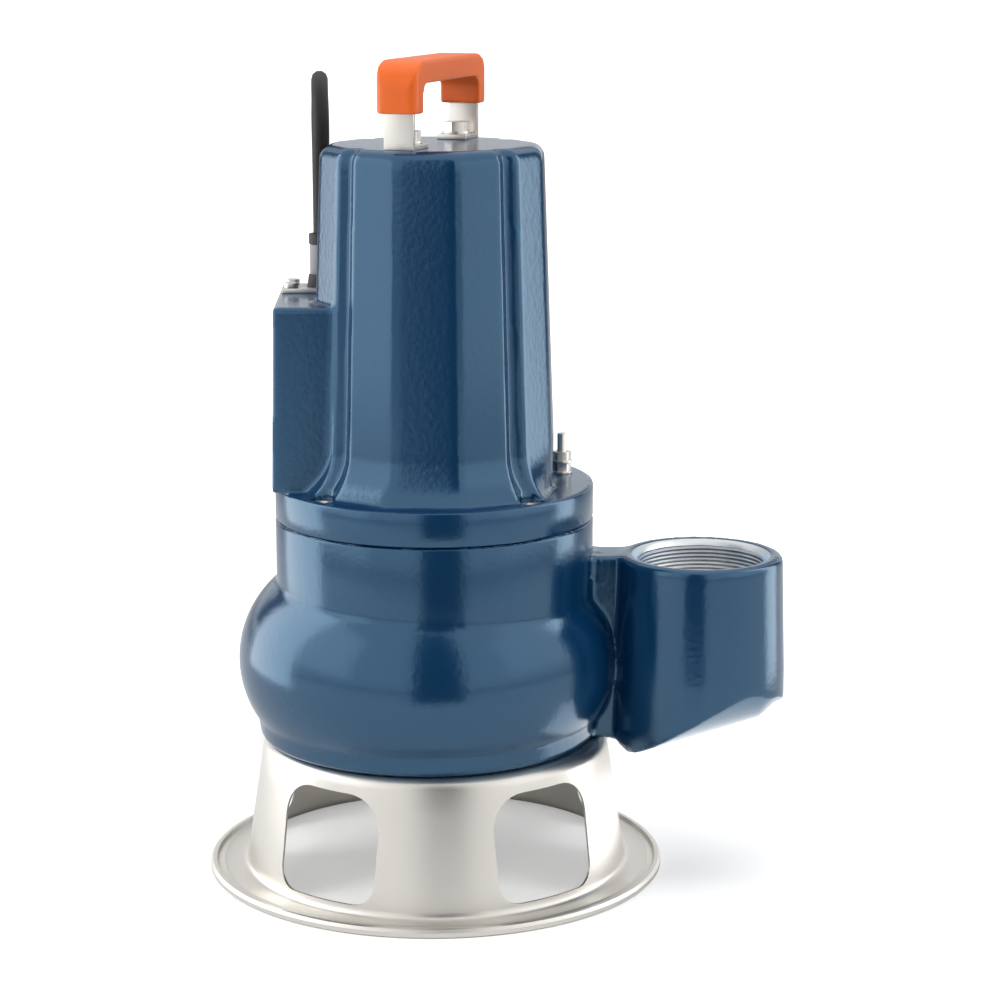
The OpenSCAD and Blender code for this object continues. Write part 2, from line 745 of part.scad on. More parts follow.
// Washer and nut on the flange, then the washer and nut that hold the earth wire
module earth_nuts() {
    washer_h = 1.6;
    nut_h = 5;
    color(steel) translate([stud_x, stud_y, flange_top]) difference() {
        for (z = [0, washer_h + nut_h]) translate([0, 0, z]) {
            cylinder(r = 2 * stud_r, h = washer_h);
            translate([0, 0, washer_h]) cylinder(r = 5.5, h = nut_h, $fn = 6);
        }
        translate([0, 0, -1]) cylinder(r = stud_r, h = 30);
    }
}

clamp_t = 3;
clamp_screw_x = -83;
clamp_screw_y = 8.5;
rubber_r = 9;

module clamp_plate() {
    color(steel) difference() {
        translate([clamp_screw_x - 5.5, cable_y - 12.5, box_top]) cube([24, 25, clamp_t]);
        translate([cable_x, cable_y, box_top - 1]) cylinder(r = rubber_r, h = clamp_t + 2);
        for (s = [-1, 1]) translate([clamp_screw_x, cable_y + s * clamp_screw_y, box_top - 1])
            cylinder(r = 2.5 + fit, h = clamp_t + 2);
    }
}

module clamp_screws() {
    color(steel) for (s = [-1, 1])
        translate([clamp_screw_x, cable_y + s * clamp_screw_y, box_top + clamp_t])
            hex_screw(2.5, 4.4, 3, clamp_t + 9);
}

module gland_rubber() {
    color(rubber) translate([cable_x, cable_y, 0]) difference() {
        union() {
            disc(rubber_r, 20 + clamp_t, box_top - 20);
            translate([0, 0, box_top + clamp_t]) cylinder(r1 = rubber_r, r2 = 8, h = 7);
        }
        disc(cable_d / 2, 22 + clamp_t + 10, box_top - 21);
    }
}

module gland_sleeve() {
    color([0.62, 0.62, 0.62]) translate([cable_x, cable_y, 0])
        washer(7.2, cable_d / 2, gland_h - 6 - clamp_t - 7, box_top + clamp_t + 7);
}

module gland_collar() {
    color(rubber) translate([cable_x, cable_y, 0]) washer(7.7, cable_d / 2, 6, box_top + gland_h - 6);
}

// Outline of an upside-down U with round corners, up to height top
module arch(half, top, r) {
    translate([-half, 0]) square([2 * half, top - r]);
    translate([r - half, 0]) square([2 * (half - r), top]);
    for (s = [-1, 1]) translate([s * (half - r), top - r]) circle(r = r, $fn = 48);
}

strap_half = handle_span / 2 + strap_t / 2;

module strap_outline() {
    difference() {
        arch(strap_half, handle_h, 10);
        difference() {
            translate([0, -1]) arch(strap_half - strap_t, handle_h - strap_t + 1, 10 - strap_t);
            for (s = [-1, 1]) translate([s > 0 ? strap_half - strap_foot : -strap_half, -1])
                square([strap_foot, strap_t + 1]);
        }
    }
}

module handle_strap() {
    color([0.84, 0.82, 0.76]) rotate([0, 0, handle_turn]) difference() {
        translate([0, strap_w / 2, casing_top]) rotate([90, 0, 0])
            linear_extrude(strap_w) strap_outline();
        for (s = [-1, 1]) translate([s * handle_screw_x, 0, casing_top - 1])
            cylinder(r = 4 + fit, h = strap_t + 2);
    }
}

module handle_grip() {
    low = 20;
    color([0.98, 0.45, 0.12]) rotate([0, 0, handle_turn]) translate([0, 0, casing_top])
        intersection() {
            translate([0, grip_w / 2, 0]) rotate([90, 0, 0]) linear_extrude(grip_w) difference() {
                arch(strap_half + grip_t, handle_h + grip_t, 16);
                arch(strap_half - strap_t - grip_t, handle_h - strap_t - grip_t, 7);
                translate([-100, -10]) square([200, low + 10]);
            }
            difference() {
                hull() for (s = [-1, 1], w = [-1, 1])
                    translate([s * (strap_half + grip_t - 5), w * (grip_w / 2 - 5), low - 1])
                        cylinder(r = 5, h = handle_h + grip_t, $fn = 32);
                translate([0, strap_w / 2, 0]) rotate([90, 0, 0]) linear_extrude(strap_w)
                    difference() {
                        arch(strap_half, handle_h, 10);
                        arch(strap_half - strap_t, handle_h - strap_t, 10 - strap_t);
                    }
            }
        }
}

module handle_screws() {
    color(steel) rotate([0, 0, handle_turn]) for (s = [-1, 1])
        translate([s * handle_screw_x, 0, casing_top + strap_t]) {
            washer(8, 4, 1.5);
            translate([0, 0, 1.5]) hex_screw(4, 7.4, 5.5, strap_t + 14);
        }
}

module cable() {
    color(rubber) tube(route, cable_d / 2, 3, [1, 0, 0], 10);
}

module cable_coil() {
    wide = coil_turns_wide * cable_d;
    color(rubber) translate([coil_x, coil_y, 0]) rotate_extrude()
        translate([coil_r - wide / 2, 0]) square([wide, coil_turns_high * cable_d]);
}

module cable_tail() {
    color(rubber) tube(tail_route, cable_d / 2, 4, [0, 0, 1], 10);
}

module along_plug() {
    translate(plug_at) rotate([0, 0, plug_turn]) rotate([0, 90, 0]) children();
}

module plug_boot() {
    color(rubber) along_plug() translate([0, 0, -16]) cylinder(r1 = cable_d / 2 + 1, r2 = 10, h = 16);
}

module plug_body() {
    color(rubber) along_plug() {
        cylinder(r1 = 13, r2 = 18, h = 14);
        translate([0, 0, 14]) cylinder(r = 19, h = 22);
    }
}

module plug_pins() {
    color([0.8, 0.75, 0.5]) along_plug() for (s = [-1, 1]) translate([0, s * 9.5, 36])
        cylinder(r = 2.4, h = 19);
}

foot();
foot_screws();
pump_body();
impeller();
impeller_key();
impeller_washer();
impeller_nut();
shaft();
seal_plate();
oil_plug();
lower_seal_seat();
lower_seal_ring();
seal_spring();
upper_seal_ring();
upper_seal_seat();
bearing_bracket();
o_rings();
lower_bearing_outer();
lower_bearing_inner();
lower_bearing_balls();
lower_bearing_cage();
rotor_core();
rotor_end_rings();
stator_core();
windings();
upper_bearing_outer();
upper_bearing_inner();
upper_bearing_balls();
upper_bearing_cage();
wave_washer();
motor_casing();
casing_screws();
earth_stud();
earth_nuts();
clamp_plate();
clamp_screws();
gland_rubber();
gland_sleeve();
gland_collar();
handle_strap();
handle_grip();
handle_screws();
cable();
cable_coil();
cable_tail();
plug_boot();
plug_body();
plug_pins();
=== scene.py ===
# Looks of a submersible water pump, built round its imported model. Metres, shaft axis on Z.
import json
import math

import bmesh
import bpy
from mathutils import Matrix, Vector


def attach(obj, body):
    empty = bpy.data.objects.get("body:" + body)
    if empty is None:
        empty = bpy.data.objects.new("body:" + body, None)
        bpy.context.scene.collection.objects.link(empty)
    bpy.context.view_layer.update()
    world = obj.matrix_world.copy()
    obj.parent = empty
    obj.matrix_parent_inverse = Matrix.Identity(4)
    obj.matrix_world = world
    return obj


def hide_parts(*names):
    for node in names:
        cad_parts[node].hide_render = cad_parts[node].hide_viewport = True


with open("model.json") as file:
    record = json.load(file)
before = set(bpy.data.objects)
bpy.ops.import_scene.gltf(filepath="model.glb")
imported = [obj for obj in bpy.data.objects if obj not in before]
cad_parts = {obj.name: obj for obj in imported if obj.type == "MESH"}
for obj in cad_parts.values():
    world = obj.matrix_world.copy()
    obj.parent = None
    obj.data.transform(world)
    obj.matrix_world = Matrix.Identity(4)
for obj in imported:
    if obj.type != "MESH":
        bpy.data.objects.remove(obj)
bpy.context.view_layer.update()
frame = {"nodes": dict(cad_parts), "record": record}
cadNodes = frame["nodes"]
scene = bpy.context.scene
scene.view_settings.view_transform = "Standard"
mm = 0.001


def point(x, y, z):
    return Vector((x * mm, y * mm, z * mm))


# camera: place, sensor and lens in mm, turns in degrees, clip in metres
cameraSettings = {"place": (0, -1531.7, 543.33), "down": 11.95, "right": 1.43, "sensor": 36.0,
                  "lens": 96.594, "clip": (0.05, 200)}
cameraData = bpy.data.cameras.new("viewCamera")
cameraData.sensor_width = cameraSettings["sensor"]
cameraData.lens = cameraSettings["lens"]
cameraData.clip_start, cameraData.clip_end = cameraSettings["clip"]
viewCamera = bpy.data.objects.new("viewCamera", cameraData)
viewCamera.location = point(*cameraSettings["place"])
viewCamera.rotation_euler = (
    math.radians(90 - cameraSettings["down"]), 0, math.radians(-cameraSettings["right"]))
scene.collection.objects.link(viewCamera)
scene.camera = viewCamera
print("camera placed")


# materials, all on Object coordinates
def newMaterial(name):
    material = bpy.data.materials.new(name)
    material.use_nodes = True
    nodes = material.node_tree.nodes
    return material, nodes, material.node_tree.links, nodes["Principled BSDF"]


# a Math node; each value is a number or a socket
def mathNode(nodes, links, operation, *values):
    node = nodes.new("ShaderNodeMath")
    node.operation = operation
    for socket, value in zip(node.inputs, values):
        if isinstance(value, (int, float)):
            socket.default_value = value
        else:
            links.new(value, socket)
    return node.outputs[0]


def mixColor(nodes, links, factor, first, second):
    mix = nodes.new("ShaderNodeMix")
    mix.data_type = "RGBA"
    links.new(factor, mix.inputs[0])
    for socket, value in ((mix.inputs[6], first), (mix.inputs[7], second)):
        if isinstance(value, tuple):
            socket.default_value = (*value, 1)
        else:
            links.new(value, socket)
    return mix.outputs[2]


# stretched object coordinates
def objectPattern(nodes, links, scale=(1, 1, 1)):
    coords = nodes.new("ShaderNodeTexCoord")
    mapping = nodes.new("ShaderNodeMapping")
    mapping.inputs["Scale"].default_value = scale
    links.new(coords.outputs["Object"], mapping.inputs["Vector"])
    return mapping.outputs["Vector"]


def noiseNode(nodes, links, vector, scale, detail):
    noise = nodes.new("ShaderNodeTexNoise")
    noise.inputs["Scale"].default_value = scale
    noise.inputs["Detail"].default_value = detail
    links.new(vector, noise.inputs["Vector"])
    return noise.outputs["Fac"]


# two stops of (place, colour)
def rampNode(nodes, links, factor, stops):
    ramp = nodes.new("ShaderNodeValToRGB")
    for element, (place, color) in zip(ramp.color_ramp.elements, stops):
        element.position, element.color = place, (*color, 1)
    links.new(factor, ramp.inputs["Fac"])
    return ramp.outputs["Color"]


def rangeNode(nodes, links, value, low, high):
    limits = nodes.new("ShaderNodeMapRange")
    limits.inputs["To Min"].default_value = low
    limits.inputs["To Max"].default_value = high
    links.new(value, limits.inputs["Value"])
    return limits.outputs["Result"]


def bumpNode(nodes, links, height, distance, strength, before=None):
    bump = nodes.new("ShaderNodeBump")
    bump.inputs["Distance"].default_value = distance
    bump.inputs["Strength"].default_value = strength
    links.new(height, bump.inputs["Height"])
    if before:
        links.new(before, bump.inputs["Normal"])
    return bump.outputs["Normal"]


# one finish: a slow cloud in the colour, a fine grain in the roughness and the bump
def surfaceMaterial(name, color, spread=0.08, metallic=0.0, roughness=0.5, roughSpread=0.06, grain=300.0,
                    stretch=(1, 1, 1), depth=0.0004, bump=0.05, specular=0.5, cloud=9.0):
    material, nodes, links, shader = newMaterial(name)
    vector = objectPattern(nodes, links)
    fine = noiseNode(nodes, links, objectPattern(nodes, links, stretch), grain, 3.0)
    darker = tuple(c * (1 - spread) for c in color)
    lighter = tuple(min(1, c * (1 + spread)) for c in color)
    slow = noiseNode(nodes, links, vector, cloud, 3.0)
    links.new(rampNode(nodes, links, slow, [(0.3, darker), (0.7, lighter)]), shader.inputs["Base Color"])
    links.new(rangeNode(nodes, links, fine, roughness - roughSpread, roughness + roughSpread),
              shader.inputs["Roughness"])
    links.new(bumpNode(nodes, links, fine, depth, bump), shader.inputs["Normal"])
    shader.inputs["Metallic"].default_value = metallic
    shader.inputs["Specular IOR Level"].default_value = specular
    return material


finishes = {
    "stainless": dict(color=(0.77, 0.745, 0.70), spread=0.02, metallic=1.0, roughness=0.36, grain=160,
                      stretch=(1, 1, 22), bump=0.04),
    "bright_steel": dict(color=(0.70, 0.70, 0.71), spread=0.04, metallic=1.0, roughness=0.22, grain=260,
                         stretch=(1, 1, 9), bump=0.04),
    "cast_iron": dict(color=(0.20, 0.205, 0.215), spread=0.2, metallic=0.6, roughness=0.55, grain=420,
                      bump=0.35),
    "lamination": dict(color=(0.32, 0.32, 0.34), spread=0.1, metallic=0.9, roughness=0.4, grain=90,
                       stretch=(1, 1, 30), bump=0.3),
    "copper": dict(color=(0.72, 0.33, 0.14), spread=0.12, metallic=0.9, roughness=0.32, grain=200,
                   stretch=(1, 1, 5), bump=0.5),
    "cast_aluminium": dict(color=(0.72, 0.73, 0.75), spread=0.06, metallic=1.0, roughness=0.42, grain=300,
                           bump=0.2),
    "carbon": dict(color=(0.04, 0.04, 0.045), spread=0.1, roughness=0.3, grain=500, bump=0.03),
    "brass": dict(color=(0.76, 0.58, 0.26), spread=0.06, metallic=1.0, roughness=0.28, grain=260, bump=0.05),
    "black_rubber": dict(color=(0.022, 0.022, 0.024), spread=0.25, roughness=0.58, grain=600, bump=0.2),
    "cable_jacket": dict(color=(0.010, 0.010, 0.011), spread=0.3, roughness=0.48, grain=500, bump=0.12,
                         specular=0.3),
    "grey_plastic": dict(color=(0.30, 0.30, 0.31), spread=0.12, roughness=0.45, grain=500, bump=0.15),
}
materials = {slot: surfaceMaterial(slot + "Finish", **finish) for slot, finish in finishes.items()}

# cloud, peel and dust are scales of noise, and their depths are in metres
enamelSettings = {
    "color": (0.002, 0.034, 0.098), "darker": 0.93, "lighter": 1.08, "cloud": 7,
    "roughness": 0.17, "smoother": 0.05, "rougher": 0.07, "ior": 2.1, "tint": (0.42, 0.70, 0.92),
    "peel": 330, "peelDepth": 0.0005, "peelBump": 0.16, "dust": 1500, "dustDepth": 0.0001, "dustBump": 0.25,
}
outletAxis = (154.7, -15.2)  # mm
# machined metal in the outlet, in mm; from a height up its thread gets a darker colour, which is painted
# shade
outletSettings = {
    "radius": 40.2, "from": 122.5, "color": (0.80, 0.81, 0.82), "roughness": 0.38,
    "threadRadius": 36.6, "threadFrom": 163.0, "threadTo": 186.5, "threadPitch": 2.309, "threadDepth": 0.5,
    "paintedShadeFrom": 177.6, "paintedShade": (0.60, 0.64, 0.68),
}


# 1 between low and high metres, else 0
def between(nodes, links, value, low, high):
    above = mathNode(nodes, links, "GREATER_THAN", value, low)
    below = mathNode(nodes, links, "LESS_THAN", value, high)
    return mathNode(nodes, links, "MULTIPLY", above, below)


# blue paint with a faint orange peel over cast iron; bare machined metal and a thread inside the outlet, with
# painted shade on the thread's upper part
def enamelMaterial():
    material, nodes, links, shader = newMaterial("blueEnamel")
    paint, bore = enamelSettings, outletSettings
    vector = objectPattern(nodes, links)
    peel = noiseNode(nodes, links, vector, paint["peel"], 1.5)
    dust = noiseNode(nodes, links, vector, paint["dust"], 2.0)
    slow = noiseNode(nodes, links, vector, paint["cloud"], 3.0)
    place = nodes.new("ShaderNodeSeparateXYZ")
    links.new(vector, place.inputs[0])
    height = place.outputs[2]
    east = mathNode(nodes, links, "SUBTRACT", place.outputs[0], outletAxis[0] * mm)
    north = mathNode(nodes, links, "SUBTRACT", place.outputs[1], outletAxis[1] * mm)
    squares = mathNode(nodes, links, "ADD", mathNode(nodes, links, "MULTIPLY", east, east),
                       mathNode(nodes, links, "MULTIPLY", north, north))
    radius = mathNode(nodes, links, "SQRT", squares)
    bare = mathNode(nodes, links, "MULTIPLY",
                    mathNode(nodes, links, "LESS_THAN", radius, bore["radius"] * mm),
                    mathNode(nodes, links, "GREATER_THAN", height, bore["from"] * mm))
    coat = rampNode(nodes, links, slow, [(0.3, tuple(c * paint["darker"] for c in paint["color"])),
                                         (0.7, tuple(c * paint["lighter"] for c in paint["color"]))])
    rough = rangeNode(nodes, links, dust, paint["roughness"] - paint["smoother"],
                      paint["roughness"] + paint["rougher"])
    added = mathNode(nodes, links, "MULTIPLY", bare, bore["roughness"] - paint["roughness"])
    links.new(mathNode(nodes, links, "ADD", rough, added), shader.inputs["Roughness"])
    links.new(bare, shader.inputs["Metallic"])
    turns = mathNode(nodes, links, "MULTIPLY", height, 2 * math.pi / (bore["threadPitch"] * mm))
    phase = mathNode(nodes, links, "ADD", turns, mathNode(nodes, links, "ARCTAN2", north, east))
    inThread = mathNode(nodes, links, "MULTIPLY",
                        mathNode(nodes, links, "LESS_THAN", radius, bore["threadRadius"] * mm),
                        between(nodes, links, height, bore["threadFrom"] * mm, bore["threadTo"] * mm))
    thread = mathNode(nodes, links, "MULTIPLY", mathNode(nodes, links, "SINE", phase), inThread)
    # painted shade: the thread above a height gets the darker colour
    paintedShade = mathNode(nodes, links, "MULTIPLY", inThread,
                     mathNode(nodes, links, "GREATER_THAN", height, bore["paintedShadeFrom"] * mm))
    metal = mixColor(nodes, links, paintedShade, bore["color"], bore["paintedShade"])
    links.new(mixColor(nodes, links, bare, coat, metal), shader.inputs["Base Color"])
    normal = bumpNode(nodes, links, peel, paint["peelDepth"], paint["peelBump"])
    normal = bumpNode(nodes, links, dust, paint["dustDepth"], paint["dustBump"], normal)
    links.new(bumpNode(nodes, links, thread, bore["threadDepth"] * mm, 1.0, normal), shader.inputs["Normal"])
    shader.inputs["IOR"].default_value = paint["ior"]
    shader.inputs["Specular Tint"].default_value = (*paint["tint"], 1)
    return material


orangeSettings = {
    "darker": (0.80, 0.125, 0.006), "lighter": (0.86, 0.150, 0.010), "cloud": 30, "grain": 900,
    "roughness": (0.30, 0.42), "grainDepth": 0.0001, "grainBump": 0.1, "specular": 0.5,
    "glow": 0.12, "glowRadius": (1.0, 0.25, 0.05), "glowScale": 0.004,
}


# moulded orange plastic that glows a little where it is thin
def orangeMaterial():
    material, nodes, links, shader = newMaterial("orangePlastic")
    vector = objectPattern(nodes, links)
    slow = noiseNode(nodes, links, vector, orangeSettings["cloud"], 2.0)
    fine = noiseNode(nodes, links, vector, orangeSettings["grain"], 2.0)
    stops = [(0.3, orangeSettings["darker"]), (0.7, orangeSettings["lighter"])]
    links.new(rampNode(nodes, links, slow, stops), shader.inputs["Base Color"])
    links.new(rangeNode(nodes, links, fine, *orangeSettings["roughness"]), shader.inputs["Roughness"])
    links.new(bumpNode(nodes, links, fine, orangeSettings["grainDepth"], orangeSettings["grainBump"]),
              shader.inputs["Normal"])
    shader.inputs["Specular IOR Level"].default_value = orangeSettings["specular"]
    shader.inputs["Subsurface Weight"].default_value = orangeSettings["glow"]
    shader.inputs["Subsurface Radius"].default_value = orangeSettings["glowRadius"]
    shader.inputs["Subsurface Scale"].default_value = orangeSettings["glowScale"]
    return material


materials["blue_enamel"] = enamelMaterial()
materials["orange_plastic"] = orangeMaterial()
slotOf = {part["node"]: part["material_slot"] for part in frame["record"]["subparts"]}
for nodeName, node in cadNodes.items():
    node.data.materials.clear()
    node.data.materials.append(materials[slotOf[nodeName]])
print("materials made:", len(materials))


# helpers for pieces
def newPiece(name, mesh, slot, body="pump"):
    piece = bpy.data.objects.new(name, mesh)
    scene.collection.objects.link(piece)
    mesh.materials.clear()
    mesh.materials.append(materials[slot])
    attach(piece, body)
    return piece


def smoothByAngle(bm, degrees):
    for face in bm.faces:
        face.smooth = True
    for edge in bm.edges:
        edge.smooth = edge.calc_face_angle(0) < math.radians(degrees)


def meshFrom(bm, name, sharpAngle=32):
    smoothByAngle(bm, sharpAngle)
    mesh = bpy.data.meshes.new(name)
    bm.to_mesh(mesh)
    bm.free()
    return mesh


# merged copy of a CAD node
def nodeShape(nodeName):
    bm = bmesh.new()
    bm.from_mesh(cadNodes[nodeName].data)
    bmesh.ops.remove_doubles(bm, verts=bm.verts, dist=2e-6)
    return bm


# degrees: flatter edges are joined away, sharper ones rounded
bevelAngles = {"flat": 1.5, "sharp": 40}


# smooth-shaded copy of a CAD node, its edges rounded by bevel metres
def smoothCopy(nodeName, pieceName, body="pump", bevel=0.0):
    bm = nodeShape(nodeName)
    if bevel:
        bmesh.ops.dissolve_limit(bm, angle_limit=math.radians(bevelAngles["flat"]), verts=bm.verts,
                                 edges=bm.edges)
        edges = [e for e in bm.edges if e.calc_face_angle(0) > math.radians(bevelAngles["sharp"])]
        bmesh.ops.bevel(bm, geom=edges, offset=bevel, offset_type="OFFSET", affect="EDGES", segments=2,
                        profile=0.5, material=-1, clamp_overlap=True)
        bmesh.ops.triangulate(bm, faces=[f for f in bm.faces if len(f.verts) > 4])
    piece = newPiece(pieceName, meshFrom(bm, pieceName), slotOf[nodeName], body)
    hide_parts(nodeName)
    return piece


# the shape after one modifier, which may work on the chosen vertices only
def modified(bm, kind, settings, chosen=None):
    mesh = bpy.data.meshes.new("rough")
    bm.to_mesh(mesh)
    bm.free()
    rough = bpy.data.objects.new("rough", mesh)
    scene.collection.objects.link(rough)
    modifier = rough.modifiers.new(kind, kind)
    for key, value in settings.items():
        setattr(modifier, key, value)
    if chosen:
        picked = [v.index for v in mesh.vertices if chosen(v.co / mm, v.normal)]
        rough.vertex_groups.new(name="chosen").add(picked, 1.0, "REPLACE")
        modifier.vertex_group = "chosen"
    graph = bpy.context.evaluated_depsgraph_get()
    done = bpy.data.meshes.new_from_object(rough.evaluated_get(graph))
    bpy.data.objects.remove(rough)
    bpy.data.meshes.remove(mesh)
    bm = bmesh.new()
    bm.from_mesh(done)
    bpy.data.meshes.remove(done)
    return bm


# remeshed copy of a CAD node, rounded as a casting; each stage is (passes, held(co) for machined places)
def castShape(nodeName, voxel, stages):
    bm = modified(nodeShape(nodeName), "REMESH", {"mode": "VOXEL", "voxel_size": voxel * mm})
    for passes, held in stages:
        free = [v for v in bm.verts if not held(v.co / mm)]
        for n in range(passes):
            bmesh.ops.smooth_vert(bm, verts=free, factor=0.5, use_axis_x=True, use_axis_y=True,
                                  use_axis_z=True)
    return bm


# moves another shape into bm
def addShape(bm, other):
    mesh = bpy.data.meshes.new("joined")
    other.to_mesh(mesh)
    other.free()
    bm.from_mesh(mesh)
    bpy.data.meshes.remove(mesh)


# closed profile of (radius, height) in mm, spun round the shaft axis
def lathe(profile, steps=180):
    bm = bmesh.new()
    verts = [bm.verts.new(point(r, 0, z)) for r, z in profile]
    edges = [bm.edges.new((a, b)) for a, b in zip(verts, verts[1:] + verts[:1])]
    bmesh.ops.spin(bm, geom=verts + edges, cent=(0, 0, 0), axis=(0, 0, 1), angle=2 * math.pi, steps=steps,
                   use_merge=True)
    bmesh.ops.remove_doubles(bm, verts=bm.verts, dist=1e-6)
    bmesh.ops.recalc_face_normals(bm, faces=bm.faces)
    return bm


# remeshed casting, thinned where hidden, lifted, and drawn in under a crisp ring
def castCopy(nodeName, pieceName, settings, stages, band, hidden, lift=None):
    bm = castShape(nodeName, settings["voxel"], stages)
    bm = modified(bm, "DECIMATE", {"ratio": settings["ratio"]}, hidden)
    if lift:
        for vert in bm.verts:
            vert.co.z += lift(vert.co / mm) * mm
    inner, (low, high) = band["inner"], band["heights"]
    for vert in bm.verts:
        axis = math.hypot(vert.co.x, vert.co.y) / mm
        if low < vert.co.z / mm < high and inner < axis < inner + band["reach"]:
            vert.co.x *= inner / axis
            vert.co.y *= inner / axis
    addShape(bm, lathe(band["profile"]))
    print(pieceName, "triangles:", sum(len(f.verts) - 2 for f in bm.faces))
    piece = newPiece(pieceName, meshFrom(bm, pieceName, settings["sharp"]), slotOf[nodeName])
    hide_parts(nodeName)


# cable: route behind the pump, coil on the floor and tail to the plug, in mm and degrees
cable = {
    "diameter": 10.0,
    "route": [(-65, 38, 371), (-65, 38, 390), (-65, 38, 412), (-65, 43, 434), (-66, 58, 451), (-67, 82, 458),
              (-68, 106, 450), (-69, 121, 431), (-69, 126, 405), (-69, 126, 350), (-70, 126, 300),
              (-70, 126, 250), (-71, 126, 200), (-72, 126, 150), (-72, 126, 100), (-73, 126, 75),
              (-73, 127, 52), (-75, 132, 30), (-80, 142, 14), (-86, 156, 6), (-91, 170, 5), (-97, 190, 5),
              (-102, 208, 5), (-105, 224, 5)],
    "tail": [(-5, 330, 5), (10, 328.5, 5), (24, 321, 7), (33, 308, 12), (37.8, 289.7, 19), (34.8, 272.8, 19)],
    "centre": (-5, 255), "columns": (105, 95, 85, 75), "layers": (5, 15, 25, 35),
    "entry": 197.2, "firstTurn": 345, "shift": 30, "turned": 5507.2,
    "step": 9.0, "routeSteps": 5, "tailSteps": 6,
}


def ease(share):
    share = min(max(share, 0), 1)
    return share * share * (3 - 2 * share)


def curvePoint(a, b, c, d, t):
    return 0.5 * (2 * b + (c - a) * t + (2 * a - 5 * b + 4 * c - d) * t * t
                  + (3 * b - a - 3 * c + d) * t ** 3)


def smoothRoute(points, steps):
    p = [Vector(q) for q in points]
    last = len(p) - 1
    line = [curvePoint(p[max(i - 1, 0)], p[i], p[i + 1], p[min(i + 2, last)], s / steps)
            for i in range(last) for s in range(steps)]
    return line + [p[last]]


# (angle at which the turn is in its place, radius, height) for each turn of the coil
def coilSlots():
    slots, angle, down = [], 0, False
    for radius in cable["columns"]:
        heights = reversed(cable["layers"]) if down else cable["layers"]
        for layer, height in enumerate(heights):
            slots.append((angle, radius, height))
            if len(slots) == 1:
                angle += cable["firstTurn"]
            elif layer in (0, len(cable["layers"]) - 1):
                angle += 360 - cable["shift"]
            else:
                angle += 360
        down = not down
    return slots


def coilPlace(turned, slots):
    index = max(i for i, slot in enumerate(slots) if slot[0] <= turned)
    radius, height = slots[index][1:]
    if index + 1 < len(slots):
        nextStart, nextRadius, nextHeight = slots[index + 1]
        share = (turned - (nextStart - cable["shift"])) / cable["shift"]
        radius += (nextRadius - radius) * ease(share)
        height += (nextHeight - height) * ease(share)
    angle = math.radians(cable["entry"] - turned)
    x, y = cable["centre"]
    return Vector((x + radius * math.cos(angle), y + radius * math.sin(angle), height))


def cableLine():
    slots = coilSlots()
    count = round(cable["turned"] / cable["step"])
    coil = [coilPlace(cable["turned"] * i / count, slots) for i in range(1, count)]
    route = smoothRoute(cable["route"], cable["routeSteps"])
    return route + coil + smoothRoute(cable["tail"], cable["tailSteps"])


def curvePiece(name, line, radius, slot):
    curve = bpy.data.curves.new(name, "CURVE")
    curve.dimensions = "3D"
    spline = curve.splines.new("POLY")
    spline.points.add(len(line) - 1)
    for place, co in zip(spline.points, line):
        place.co = (*(co * mm), 1)
    spline.use_smooth = True
    curve.bevel_depth = radius * mm
    curve.bevel_resolution = 3
    curve.use_fill_caps = True
    piece = bpy.data.objects.new(name, curve)
    scene.collection.objects.link(piece)
    curve.materials.append(materials[slot])
    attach(piece, "pump")
    return piece


line = cableLine()
powerCable = curvePiece("power_cable", line, cable["diameter"] / 2, "cable_jacket")
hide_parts("cable", "cable_coil", "cable_tail")

# three ties round the coil, in mm and degrees; middle is (radius, height) of the coil's section
ties = {
    "angles": (40, 160, 285), "inner": 69.2, "outer": 110.8, "low": 0.0, "high": 40.8, "middle": (90, 20),
    "corner": 5.0, "cornerStep": 15, "width": 4.6, "thick": 1.0, "sharp": 35,
    "head": (6.5, 5.0, 7.5), "headInset": 0.4, "headHeight": 26, "headRound": 0.8,
}


# a flat band round the coil's section and its lock, at an angle of the coil
def tieShape(angle):
    bm = bmesh.new()
    corners = [(ties["outer"], ties["high"], 0), (ties["inner"], ties["high"], 90),
               (ties["inner"], ties["low"], 180), (ties["outer"], ties["low"], 270)]
    verts = []
    for radius, height, start in corners:
        middle = (radius + math.copysign(ties["corner"], ties["middle"][0] - radius),
                  height + math.copysign(ties["corner"], ties["middle"][1] - height))
        for turn in range(0, 91, ties["cornerStep"]):
            a = math.radians(start + turn)
            verts.append(bm.verts.new(point(middle[0] + ties["corner"] * math.cos(a), -ties["width"] / 2,
                                            middle[1] + ties["corner"] * math.sin(a))))
    edges = [bm.edges.new((a, b)) for a, b in zip(verts, verts[1:] + verts[:1])]
    wide = bmesh.ops.extrude_edge_only(bm, edges=edges)["geom"]
    bmesh.ops.translate(bm, verts=[v for v in wide if isinstance(v, bmesh.types.BMVert)],
                        vec=(0, ties["width"] * mm, 0))
    bmesh.ops.recalc_face_normals(bm, faces=bm.faces)
    bmesh.ops.solidify(bm, geom=bm.faces[:], thickness=ties["thick"] * mm)
    headPlace = point(ties["outer"] - ties["headInset"] * ties["head"][0], 0, ties["headHeight"])
    headSize = Matrix.Diagonal((*(v * mm for v in ties["head"]), 1))
    lock = bmesh.ops.create_cube(bm, size=1.0, matrix=Matrix.Translation(headPlace) @ headSize)
    lockEdges = list({e for v in lock["verts"] for e in v.link_edges})
    bmesh.ops.bevel(bm, geom=lockEdges, offset=ties["headRound"] * mm, offset_type="OFFSET", affect="EDGES",
                    segments=2, profile=0.5, material=-1)
    bmesh.ops.recalc_face_normals(bm, faces=bm.faces)
    bmesh.ops.transform(bm, verts=bm.verts, matrix=Matrix.Translation(point(*cable["centre"], 0))
                        @ Matrix.Rotation(math.radians(angle), 4, "Z"))
    return bm


